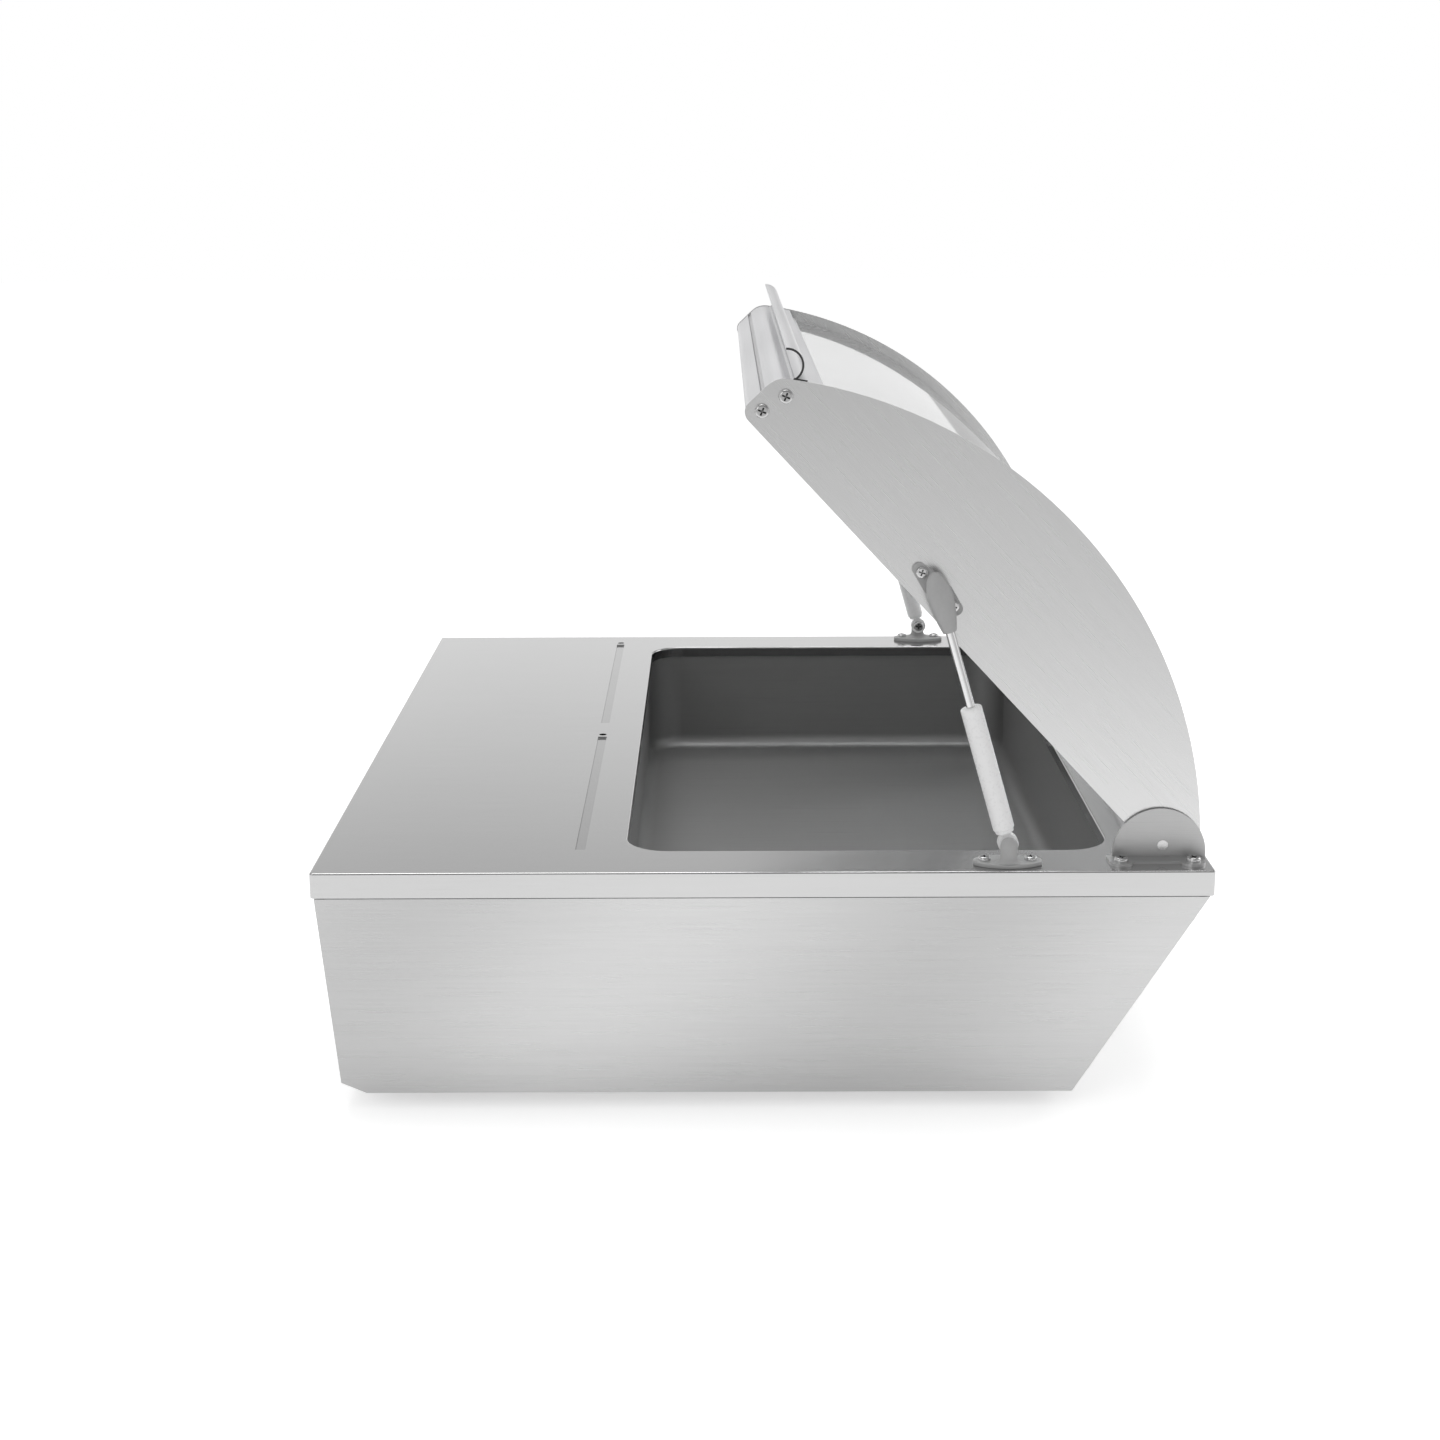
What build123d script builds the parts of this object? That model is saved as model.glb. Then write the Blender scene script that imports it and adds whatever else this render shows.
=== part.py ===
from build123d import *
import math
import os

# Driving dimensions, in millimetres. X is the width, the lid's hinge is at the rear (+Y), +Z is up.
worktop_width = 710.0
worktop_depth = 600.0
worktop_height = 170.0
worktop_sheet = 1.5
rim_height = 17.4
rim_corner_radius = 2.5
rim_bend_radius = 1.2

# Opening in the worktop and the tub that hangs below it
well_side_margin = 46.0
well_rear_margin = 62.0
well_length = 330.0
well_corner_radius = 29.0
well_lip_depth = 9.0
tub_setback = 4.0
tub_sheet = 1.2
tub_depth = 99.0
tub_floor_radius = 11.0
tub_flange_width = 9.5
insulation_wall = 14.0
insulation_floor = 20.0
insulation_top_gap = 14.0

# Pressed drip channels in front of the opening
channel_width = 7.0
channel_depth = 1.4
channel_length = 292.0
channel_centres = (-175.0, 160.0)
channel_from_well = 31.4
channel_corner_radius = 1.0
weep_hole_radius = 3.0
weep_hole_step = 6.5

# Casing under the worktop
casing_sheet = 1.2
casing_side_inset = 3.0
casing_front_inset = 2.0
casing_rear_inset = 2.5
casing_rim_gap = 1.6
front_slope_run = 12.0
chamfer_run = 17.0
chamfer_rise = 7.5
rear_slope_run = 86.5
casing_flange_width = 13.0
foot_height = 11.5
foot_radius = 14.0
foot_taper = 2.5
foot_web = 4.0
foot_side_margin = 65.0
foot_front_margin = 70.0
foot_rear_margin = 150.0

# Angle frame, rail and backing plates under the worktop
frame_sheet = 1.5
frame_flange = 25.0
frame_leg = 26.0
frame_end_inset = 9.0
rail_width = 34.0
rail_drop = 18.0
rail_brim = 12.0
rail_taper = 4.0
rail_share_of_front = 0.48
backing_thickness = 3.0
backing_width = 20.0

# Lid: closed, its straight edge lies flat just above the worktop
lid_side_margin = 28.5
lid_sheet = 1.8
lid_length = 405.9
lid_arc_radius = 323.7
lid_arc_back = 196.7
lid_arc_below = 223.8
lid_edge_gap = 1.1
lid_open_angle = 46.9
lid_nose_radius = 8.0
lid_brow_radius = 17.0
lid_heel_radius = 5.0
hinge_from_rear = 31.0
hinge_height = 9.5

# Clear curved window and the strips it is bonded to
window_thickness = 3.0
window_recess = 8.6
window_gap = 0.3
window_seat_depth = 9.0
window_rear_angle = 39.5
ledge_width = 12.0
ledge_thickness = 1.5

# Front extrusion, grip and rear bar of the lid
profile_length = 23.0
profile_wall = 2.0
profile_inset = 0.6
profile_flange_reach = 12.0
seat_wall = 1.8
groove_radius = 1.9
groove_wall = 1.3
groove_spots = ((0.5, 11.3), (5.6, 24.0))  # behind the lid's front edge, and up
front_screw_spots = ((9.6, 2.2), (13.2, 19.6))
grip_radius = 10.4
grip_thickness = 1.4
grip_centre = (-0.6, 33.4)
grip_start_angle = -33.0
grip_end_angle = 140.0
grip_foot_length = 9.0
barrel_radius = 8.2
barrel_bore = 6.2
web_thickness = 9.0
bar_head_angle = 1.6
bar_screw_radius = 1.8

# Hinge brackets and pins
pin_radius = 3.5
running_clearance = 0.05
bush_length = 14.0
bracket_sheet = 1.8
bracket_gap = 0.4
bracket_disc_radius = 31.2
bracket_disc_drop = 5.6
bracket_disc_ahead = 2.2
bracket_screw_pitch = 48.3
bracket_screw_ahead = 5.2
bracket_screw_reach = 12.4
bracket_lobe_radius = 8.0
bracket_waist = 13.6

# Gas struts
strut_plane_margin = 17.5
strut_foot_ahead = 105.1
strut_pivot_height = 14.5
stud_ahead = 233.6
stud_above = 6.7
stud_plate_length = 45.0
stud_plate_width = 15.0
stud_plate_thickness = 1.5
stud_screw_pitch = 30.9
stud_gap = 0.4
tube_radius = 7.2
tube_wall = 1.0
tube_start = 10.1
collar_start = 76.9
collar_end = 97.2
guide_depth = 5.0
rod_radius = 3.0
piston_length = 7.0
piston_play = 2.0
boot_head_radius = 8.6
boot_neck_radius = 4.2
boot_thickness = 12.0
boot_top = 13.7
boot_length = 41.0
strut_foot_length = 46.0
strut_foot_width = 22.0
strut_foot_thickness = 3.0
strut_foot_pitch = 31.0
post_thickness = 6.5
post_radius = 5.8
post_edge_radius = 2.0
eye_radius = 6.8
eye_thickness = 7.0

# Screws
m5_radius = 2.5
m4_radius = 2.0
hole_clearance = 0.3
pan_head_radius = 4.7
pan_head_height = 3.0
low_head_height = 2.6
small_head_radius = 3.8
small_head_height = 2.2

# Places that follow from the dimensions above
half_width = worktop_width / 2
half_depth = worktop_depth / 2
top = worktop_height
well_half_width = half_width - well_side_margin
well_rear = half_depth - well_rear_margin
well_front = well_rear - well_length
well_centre = (well_rear + well_front) / 2
lid_outer = half_width - lid_side_margin
lid_inner = lid_outer - lid_sheet
hinge_y = half_depth - hinge_from_rear
hinge_z = top + hinge_height
lid_edge = lid_edge_gap - hinge_height
window_outer = lid_arc_radius - window_recess
window_inner = window_outer - window_thickness
profile_rear = profile_inset - lid_length + profile_length
groove_places = [(behind - lid_length, above) for behind, above in groove_spots]
front_screw_places = [(behind - lid_length, above) for behind, above in front_screw_spots]
grip_place = (grip_centre[0] - lid_length, grip_centre[1])
profile_rear_turn = math.asin((profile_rear + lid_arc_back) / window_outer)
window_front_angle = math.degrees(profile_rear_turn - window_seat_depth / window_outer)
casing_half = half_width - casing_side_inset
frame_half = casing_half - casing_sheet
strut_x = half_width - strut_plane_margin
strut_y = hinge_y - strut_foot_ahead
strut_z = top + strut_pivot_height
bracket_x = lid_outer + bracket_gap
bracket_screw_x = bracket_x + bracket_screw_reach
lid_place = Pos(0, hinge_y, hinge_z) * Rot(-lid_open_angle, 0, 0)


def turned(point, degrees):
    """The point (y, z) turned about the origin, positive from +Y towards +Z."""
    c = math.cos(math.radians(degrees))
    s = math.sin(math.radians(degrees))
    return point[0] * c - point[1] * s, point[0] * s + point[1] * c


stud_open = turned((-stud_ahead, stud_above), -lid_open_angle)
strut_reach = (hinge_y + stud_open[0] - strut_y, hinge_z + stud_open[1] - strut_z)
strut_open_length = math.hypot(*strut_reach)
strut_lean = math.degrees(math.atan2(-strut_reach[0], strut_reach[1]))
strut_place = Pos(strut_x, strut_y, strut_z) * Rot(strut_lean, 0, 0)


def yz_prism(points, x_low, x_high):
    """A prism along X over a polygon of (y, z) points."""
    face = make_face(Polyline(*points, close=True))
    return extrude(Plane.YZ.offset(x_low) * face, amount=x_high - x_low)


def yz_extrude(face, x_low, x_high):
    """A flat face drawn in (y, z), carried along X."""
    return extrude(Plane.YZ.offset(x_low) * face, amount=x_high - x_low)


def x_cylinder(radius, x_low, x_high, y, z):
    """A cylinder along X."""
    return Pos((x_low + x_high) / 2, y, z) * Rot(0, 90, 0) * Cylinder(radius, x_high - x_low)


def z_cylinder(radius, z_low, z_high, x, y):
    """A cylinder along Z."""
    return Pos(x, y, (z_low + z_high) / 2) * Cylinder(radius, z_high - z_low)


def slab(x_low, x_high, y_low, y_high, z_low, z_high):
    """A box between two corners."""
    centre = Pos((x_low + x_high) / 2, (y_low + y_high) / 2, (z_low + z_high) / 2)
    return centre * Box(x_high - x_low, y_high - y_low, z_high - z_low)


def rounded_prism(half_x, y_low, y_high, radius, z_low, z_high):
    """A prism along Z with rounded corners, symmetric in X."""
    outline = RectangleRounded(2 * half_x, y_high - y_low, radius)
    return extrude(Pos(0, (y_low + y_high) / 2, z_low) * outline, amount=z_high - z_low)


def folded(points, thickness):
    """A polyline given a thickness on its left side, with mitred bends."""
    lines = []
    for (y0, z0), (y1, z1) in zip(points, points[1:]):
        length = math.hypot(y1 - y0, z1 - z0)
        lines.append(((y1 - y0) / length, (z1 - z0) / length))
    inner = []
    for i, (y, z) in enumerate(points):
        a = lines[max(i - 1, 0)]
        b = lines[min(i, len(lines) - 1)]
        share = thickness / (1 + a[0] * b[0] + a[1] * b[1])
        inner.append((y - (a[1] + b[1]) * share, z + (a[0] + b[0]) * share))
    return list(points) + inner[::-1]


def nearest_corner(face, y, z):
    """The corner of a flat face nearest to a point."""
    return min(face.vertices(), key=lambda v: math.hypot(v.X - y, v.Y - z))


def pan_screw(head_radius, head_height, shank_radius, length):
    """A pan-head screw with a cross recess, its head on +Z and its seat at z = 0."""
    head = Cylinder(head_radius, head_height, align=(Align.CENTER, Align.CENTER, Align.MIN))
    head = fillet(head.edges().sort_by(Axis.Z)[-1], head_height * 0.55)
    slot = Box(head_radius * 1.15, head_radius * 0.24, head_height)
    cross = Pos(0, 0, head_height) * (slot + Rot(0, 0, 90) * slot)
    shank = Cylinder(shank_radius, length, align=(Align.CENTER, Align.CENTER, Align.MAX))
    return head - cross + shank


def both_sides(piece):
    """The piece of the right side and its mirror image on the left."""
    return {"right": piece, "left": mirror(piece, about=Plane.YZ)}


def on_both_sides(pieces):
    """One group of separate solids from the right side's solids and their mirror images."""
    return Compound(children=[Part(p.wrapped) for q in pieces for p in both_sides(q).values()])


def casing_outline(gap_below_rim=casing_rim_gap):
    """Side outline of the casing as (y, z), from the front top edge round the bottom to the rear."""
    high = top - rim_height - gap_below_rim
    front = casing_front_inset - half_depth
    rear = half_depth - casing_rear_inset
    front_low = front + front_slope_run
    return [
        (front, high),
        (front_low, foot_height + chamfer_rise),
        (front_low + chamfer_run, foot_height),
        (rear - rear_slope_run, foot_height),
        (rear, high),
    ]


def hinge_screw_spots():
    """Places (x, y) of the hinge bracket's two screws on the right side."""
    middle = hinge_y - bracket_screw_ahead
    return [(bracket_screw_x, middle + s * bracket_screw_pitch / 2) for s in (-1, 1)]


def strut_screw_spots():
    """Places (x, y) of the strut foot's two screws on the right side."""
    x = lid_outer + 1.5 + strut_foot_width / 2
    return [(x, strut_y + s * strut_foot_pitch / 2) for s in (-1, 1)]


def screw_holes(part, radius, spots):
    """The part with vertical holes at the spots and at their mirror images."""
    for x, y in spots:
        for side in (-1, 1):
            part = part - z_cylinder(radius, top - 30, top + 10, side * x, y)
    return part


def worktop():
    """Pressed worktop: folded rim, well opening with a turned-down lip, drip channels."""
    low = top - rim_height
    shell = rounded_prism(half_width, -half_depth, half_depth, rim_corner_radius, low, top)
    shell = fillet(shell.faces().sort_by(Axis.Z)[-1].edges(), rim_bend_radius)
    hollow_half = half_width - worktop_sheet
    hollow_rear = half_depth - worktop_sheet
    hollow_top = top - worktop_sheet
    shell = shell - rounded_prism(hollow_half, -hollow_rear, hollow_rear, 1.0, low - 1, hollow_top)
    lip_low = top - well_lip_depth
    lip_radius = well_corner_radius + worktop_sheet
    lip_front = well_front - worktop_sheet
    lip_rear = well_rear + worktop_sheet
    lip_half = well_half_width + worktop_sheet
    shell = shell + rounded_prism(lip_half, lip_front, lip_rear, lip_radius, lip_low, top - 0.5)
    opening = rounded_prism(well_half_width, well_front, well_rear, well_corner_radius, lip_low - 1, top + 1)
    shell = shell - opening
    rim = [e for e in shell.edges() if abs(e.center().Z - top) < 0.01 and on_opening(e)]
    shell = fillet(rim, rim_bend_radius)
    channel_y = well_front - channel_from_well
    for x in channel_centres:
        grown = 2 * worktop_sheet
        corner = channel_corner_radius
        ridge = RectangleRounded(channel_length + grown, channel_width + grown, corner + worktop_sheet)
        groove = RectangleRounded(channel_length, channel_width, corner)
        ridge_low = top - worktop_sheet - channel_depth
        shell = shell + extrude(Pos(x, channel_y, ridge_low) * ridge, channel_depth + 0.5)
        shell = shell - extrude(Pos(x, channel_y, top - channel_depth) * groove, channel_depth + 1)
        weep_x = x - channel_length / 2 - weep_hole_step
        shell = shell - z_cylinder(weep_hole_radius, top - 10, top + 1, weep_x, channel_y)
    return screw_holes(shell, m5_radius + hole_clearance, hinge_screw_spots() + strut_screw_spots())


def on_opening(edge):
    """Whether an edge of the top face lies on the well opening."""
    c = edge.center()
    inside_x = abs(c.X) < well_half_width + 1
    return inside_x and well_front - 1 < c.Y < well_rear + 1


def tub_solid(grow, floor_z, radius):
    """The tub's volume, grown outwards from its inner faces by a wall thickness."""
    half = well_half_width + tub_setback + grow
    front = well_front - tub_setback - grow
    rear = well_rear + tub_setback + grow
    corner = well_corner_radius + 1.0 + grow
    body = rounded_prism(half, front, rear, corner, floor_z, top - worktop_sheet)
    return fillet(body.faces().sort_by(Axis.Z)[0].edges(), radius)


def well_tub():
    """Deep-drawn tub with a flange that is welded under the worktop."""
    floor_z = top - tub_depth
    outer = tub_solid(tub_sheet, floor_z - tub_sheet, tub_floor_radius + tub_sheet)
    reach = tub_setback + tub_flange_width
    flange_low = top - worktop_sheet - tub_sheet
    front = well_front - reach
    rear = well_rear + reach
    radius = well_corner_radius + reach
    flange = rounded_prism(well_half_width + reach, front, rear, radius, flange_low, top - worktop_sheet)
    return outer + flange - tub_solid(0, floor_z, tub_floor_radius)


def tub_insulation():
    """Foam jacket round the tub, trimmed where the rear of the casing slopes in."""
    grow = tub_sheet + insulation_wall
    high = top - insulation_top_gap
    low = top - tub_depth - tub_sheet - insulation_floor
    half = well_half_width + tub_setback + grow
    block = slab(-half, half, well_front - grow - tub_setback, well_rear + grow + tub_setback, low, high)
    room = casing_outline()
    inner = folded(room, casing_sheet * 2 + 1.0)[len(room):]
    block = block & yz_prism(inner + [(inner[-1][0], high + 1), (inner[0][0], high + 1)], -half, half)
    floor_z = top - tub_depth - tub_sheet
    return block - tub_solid(tub_sheet, floor_z, tub_floor_radius + tub_sheet)


def casing_screw_places():
    """Seats of the casing screws: (x, y, z, tilt), tilt turning +Z to the head's side."""
    outline = casing_outline()
    (y2, z2), (y3, z3), (y4, z4) = outline[2:]
    x = frame_half - casing_flange_width / 2
    slope = math.degrees(math.atan2(z4 - z3, y4 - y3))
    places = []
    for share in (0.12, 0.5, 0.88):
        places.append((x, y2 + (y3 - y2) * share, z2, 180.0))
        places.append((x, y3 + (y4 - y3) * share, z3 + (z4 - z3) * share, 180.0 + slope))
    return places


def casing_holes(part):
    """The part with the casing screws' holes on both sides."""
    for x, y, z, tilt in casing_screw_places():
        for side in (-1, 1):
            part = part - Pos(side * x, y, z) * Rot(tilt, 0, 0) * Cylinder(m4_radius, 12)
    return part


def side_panel():
    """Right side of the casing: a flat plate with a flange turned in along front, bottom and rear."""
    outline = casing_outline()
    plate = yz_prism(outline, frame_half, casing_half)
    inner = folded(outline, casing_sheet)[len(outline):][::-1]
    flange = yz_prism(folded(inner, casing_sheet), frame_half - casing_flange_width, frame_half)
    return casing_holes(plate + flange)


def casing_wrap(first, last):
    """A folded sheet between the side panels, over part of the casing's outline."""
    outline = casing_outline()
    full = folded(outline, casing_sheet)
    count = len(outline)
    outer = full[first:last + 1]
    inner = full[2 * count - 1 - last:2 * count - first]
    return casing_holes(yz_prism(outer + inner, -frame_half, frame_half))


def casing_screws():
    """Pan screws through the base plate and the rear panel into the side panels' flanges."""
    screw = pan_screw(small_head_radius, small_head_height, m4_radius, 5.0)
    places = casing_screw_places()
    return on_both_sides([Pos(x, y, z) * Rot(tilt, 0, 0) * screw for x, y, z, tilt in places])


def foot_spots():
    """Centres of the four feet, by name."""
    x = half_width - foot_side_margin
    front = foot_front_margin - half_depth
    rear = half_depth - foot_rear_margin
    return {
        "front_left": (-x, front),
        "front_right": (x, front),
        "rear_left": (-x, rear),
        "rear_right": (x, rear),
    }


def foot(x, y):
    """Rubber foot, tapered, with a recess that hides its screw."""
    body = Pos(x, y, foot_height / 2) * Cone(foot_radius - foot_taper, foot_radius, foot_height)
    body = fillet(body.edges().sort_by(Axis.Z)[0], 1.5)
    body = body - z_cylinder(small_head_radius + 1.5, -1, foot_height - foot_web, x, y)
    return body - z_cylinder(m4_radius, 0, foot_height + 1, x, y)


def foot_screws():
    """One screw up through each foot into the base plate."""
    screw = Rot(180, 0, 0) * pan_screw(small_head_radius, small_head_height, m4_radius, 8.0)
    seat = foot_height - foot_web
    placed = [Pos(x, y, seat) * screw for x, y in foot_spots().values()]
    return Compound(children=[Part(p.wrapped) for p in placed])


def base_plate():
    """Bottom sheet with the front chamfer, drilled for the feet."""
    plate = casing_wrap(1, 3)
    for x, y in foot_spots().values():
        plate = plate - z_cylinder(m4_radius, 0, foot_height + 20, x, y)
    return plate


def support_frame():
    """Welded ring of angle under the worktop that the casing hangs from."""
    high = top - worktop_sheet
    front = frame_end_inset - half_depth
    rear = half_depth - frame_end_inset
    ring = slab(-frame_half, frame_half, front, rear, high - frame_leg, high)
    hollow_half = frame_half - frame_sheet
    inside = (front + frame_sheet, rear - frame_sheet)
    ring = ring - slab(-hollow_half, hollow_half, *inside, 0, high - frame_sheet)
    open_half = frame_half - frame_flange
    open_rear = max(rear - frame_flange, well_rear + tub_setback + tub_flange_width + 1.0)
    ring = ring - slab(-open_half, open_half, front + frame_flange, open_rear, 0, top)
    room = casing_outline(0)
    inner = folded(room, casing_sheet * 2 + 0.3)[len(room):]
    ring = ring & yz_prism(inner + [(inner[-1][0], top), (inner[0][0], top)], -frame_half, frame_half)
    return screw_holes(ring, m5_radius + hole_clearance, hinge_screw_spots() + strut_screw_spots())


def front_rail():
    """Hat-section rail that stiffens the free front of the worktop."""
    free_front = worktop_depth - well_rear_margin - well_length
    y = free_front * rail_share_of_front - half_depth
    high = top - worktop_sheet
    half = frame_half - frame_flange - 1.0
    low = high - rail_drop
    wide = rail_width / 2
    brim = wide + rail_brim
    foot = wide - rail_taper
    path = [(brim, high), (wide, high), (foot, low), (-foot, low), (-wide, high), (-brim, high)]
    path = [(y + step, z) for step, z in path]
    return yz_prism(folded(path, frame_sheet), -half, half)


def backing_plate(spots):
    """Tapped plate under the frame that two screws pull up against."""
    low = top - worktop_sheet - frame_sheet - backing_thickness
    y_low = min(y for _, y in spots) - 10.0
    y_high = max(y for _, y in spots) + 1.0
    x = sum(x for x, _ in spots) / len(spots)
    y_high = min(y_high + 9.0, half_depth - frame_end_inset - frame_sheet - 0.5)
    x_high = min(x + backing_width / 2, frame_half - frame_sheet - 0.5)
    plate = slab(x - backing_width / 2, x_high, y_low, y_high, low, low + backing_thickness)
    for sx, sy in spots:
        plate = plate - z_cylinder(m5_radius, low - 1, low + 10, sx, sy)
    return plate


def hinge_bracket():
    """Folded bracket: a half-disc that carries the pin, and a foot with two lobes."""
    high = top + bracket_sheet
    disc_y = hinge_y - bracket_disc_ahead
    disc_z = hinge_z - bracket_disc_drop
    disc = x_cylinder(bracket_disc_radius, bracket_x, bracket_x + bracket_sheet, disc_y, disc_z)
    disc = disc & slab(bracket_x - 1, bracket_x + 5, 0, half_depth, top, top + 100)
    disc = disc - x_cylinder(pin_radius, bracket_x - 1, bracket_x + 5, hinge_y, hinge_z)
    spots = hinge_screw_spots()
    foot = slab(bracket_x, bracket_x + bracket_waist, spots[0][1] - 5, spots[1][1] + 5, top, high)
    for x, y in spots:
        foot = foot + z_cylinder(bracket_lobe_radius, top, high, x, y)
        foot = foot + slab(bracket_x, x, y - bracket_lobe_radius, y + bracket_lobe_radius, top, high)
    for x, y in spots:
        foot = foot - z_cylinder(m5_radius + hole_clearance, top - 1, high + 1, x, y)
    return disc + foot


def hinge_pin():
    """Pin fixed in the bracket's half-disc, on which the lid's bush turns."""
    inner = lid_inner - bush_length - 1.0
    outer = bracket_x + bracket_sheet + 0.4
    pin = x_cylinder(pin_radius, inner, outer, hinge_y, hinge_z)
    return chamfer(pin.edges().group_by(Axis.X)[0], 0.8)


def hinge_bush():
    """Plain nylon bush in the end of the lid's rear bar, drawn about the hinge axis."""
    bush = x_cylinder(barrel_bore, lid_inner - bush_length, lid_inner, 0, 0)
    return bush - x_cylinder(pin_radius + running_clearance, 0, half_width, 0, 0)


def lid_arc_point(radius, degrees):
    """Point (u, w) at a radius and angle about the lid arc's centre, angle 0 straight up."""
    a = math.radians(degrees)
    return -lid_arc_back + radius * math.sin(a), -lid_arc_below + radius * math.cos(a)


def lid_arc_height(u):
    """Height w of the lid's arc above the hinge axis at a distance u."""
    return math.sqrt(lid_arc_radius ** 2 - (u + lid_arc_back) ** 2) - lid_arc_below


def lid_arc_disc(radius):
    """Disc about the lid arc's centre."""
    return Pos(-lid_arc_back, -lid_arc_below) * Circle(radius)


def lid_arc_band(outer, inner, start, end):
    """Band between two radii of the lid's arc, from one angle to another."""
    far = lid_arc_radius * 1.6
    wedge = [(-lid_arc_back, -lid_arc_below)]
    wedge += [lid_arc_point(far, start + (end - start) * i / 4) for i in range(5)]
    return (lid_arc_disc(outer) - lid_arc_disc(inner)) & make_face(Polyline(*wedge, close=True))


def lid_side():
    """Right end panel of the lid: straight lower edge, arched top, rounded nose and heel."""
    heel = -lid_edge * math.tan(math.radians(lid_open_angle / 2))
    rear = turned((60.0, 0.0), lid_open_angle)
    points = [
        (-lid_length, lid_edge),
        (heel, lid_edge),
        (heel + rear[0], lid_edge + rear[1]),
        (heel + rear[0], 200.0),
        (-lid_length, 200.0),
    ]
    face = lid_arc_disc(lid_arc_radius) & make_face(Polyline(*points, close=True))
    face = fillet(nearest_corner(face, heel, lid_edge), -lid_edge)
    face = fillet(nearest_corner(face, -lid_length, lid_edge), lid_nose_radius)
    face = fillet(nearest_corner(face, -lid_length, lid_arc_height(-lid_length)), lid_brow_radius)
    face = fillet(max(face.vertices(), key=lambda v: v.X), lid_heel_radius)
    panel = yz_extrude(face, lid_inner, lid_outer)
    panel = panel - x_cylinder(pin_radius + hole_clearance, 0, half_width, 0, 0)
    for u, w in front_screw_places:
        panel = panel - x_cylinder(m5_radius + hole_clearance, 0, half_width, u, w)
    for u, w in stud_screw_spots():
        panel = panel - x_cylinder(m4_radius, 0, half_width, u, w)
    for u, w in rear_screw_spots():
        panel = panel - countersunk(u, w)
    return panel


def stud_screw_spots():
    """Places (u, w) of the two screws of a strut's upper plate."""
    return [(-stud_ahead + s * stud_screw_pitch / 2, stud_above) for s in (-1, 1)]


def rear_screw_spots():
    """Places (u, w) of the countersunk screws into the lid's rear bar."""
    return [(0.0, 11.4), lid_arc_point(window_outer - window_thickness / 2, window_rear_angle + 1.0)]


def countersunk(u, w):
    """A countersunk screw from the panel's outer face into the rear bar."""
    head = Pos(lid_outer - lid_sheet / 2, u, w) * Rot(0, 90, 0) * Cone(bar_screw_radius, 3.0, lid_sheet)
    return head + x_cylinder(bar_screw_radius, lid_inner - 12.0, lid_inner + 0.1, u, w)


def lid_window():
    """Clear sheet bent to the lid's arc."""
    half = lid_inner - window_gap
    band = lid_arc_band(window_outer, window_inner, window_front_angle, window_rear_angle)
    return yz_extrude(band, -half, half)


def window_ledge():
    """Curved angle on the inside of the right panel that the window's edge is bonded to."""
    start = window_front_angle + 5.5
    end = window_rear_angle - 4.0
    shelf = lid_arc_band(window_inner, window_inner - ledge_thickness, start, end)
    leg = lid_arc_band(window_inner, window_inner - ledge_width, start, end)
    shelf = yz_extrude(shelf, lid_inner - ledge_width, lid_inner)
    return shelf + yz_extrude(leg, lid_inner - ledge_thickness, lid_inner)


def profile_outline():
    """Closed outline of the lid's front extrusion, before it is hollowed."""
    front = profile_inset - lid_length
    rear = front + profile_length
    low = lid_edge + profile_inset
    box = make_face(Polyline((front, low), (rear, low), (rear, 100.0), (front, 100.0), close=True))
    face = lid_arc_disc(lid_arc_radius - profile_inset) & box
    face = fillet(nearest_corner(face, front, low), lid_nose_radius - profile_inset)
    return fillet(nearest_corner(face, front, lid_arc_height(front)), lid_brow_radius - profile_inset)


def lid_front_profile():
    """Hollow aluminium extrusion along the lid's front, with grooves, screw ports and window seat."""
    face = profile_outline()
    hollow = offset(face, -profile_wall)
    ports = Sketch()
    for u, w in front_screw_places:
        ports = ports + Pos(u, w) * Circle(m5_radius + profile_wall)
        ports = ports + (Pos(u - 10, w) * Rectangle(20, profile_wall) & face)
    for u, w in groove_places:
        ports = ports + (Pos(u, w) * Circle(groove_radius + groove_wall) & face)
    face = face - (hollow - ports)
    for u, w in groove_places:
        face = face - Pos(u, w) * Circle(groove_radius)
    start = window_front_angle - math.degrees(seat_wall / window_outer)
    end = window_front_angle + math.degrees((window_seat_depth + profile_flange_reach) / window_outer)
    seat = lid_arc_band(window_outer + seat_wall, window_inner - seat_wall, start, end)
    face = face + seat - lid_arc_band(window_outer, window_inner, window_front_angle, end + 1)
    for u, w in front_screw_places:
        face = face - Pos(u, w) * Circle(m5_radius)
    return yz_extrude(face, -lid_inner, lid_inner)


def lid_grip():
    """Half-round finger lip along the top of the front extrusion."""
    outer = grip_radius + grip_thickness / 2
    inner = grip_radius - grip_thickness / 2
    centre = Pos(*grip_place)
    span = [grip_start_angle + (grip_end_angle - grip_start_angle) * i / 4 for i in range(5)]
    rays = [(40 * math.cos(math.radians(a)), 40 * math.sin(math.radians(a))) for a in span]
    arc = (Circle(outer) - Circle(inner)) & make_face(Polyline((0, 0), *rays, close=True))
    start = math.degrees(math.asin((grip_place[0] + outer * 0.85 + lid_arc_back) / lid_arc_radius))
    seat = lid_arc_radius - profile_inset
    foot = lid_arc_band(seat + grip_thickness, seat, start, start + math.degrees(grip_foot_length / seat))
    return yz_extrude(centre * arc - lid_arc_disc(seat) + foot, -lid_inner, lid_inner)


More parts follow.
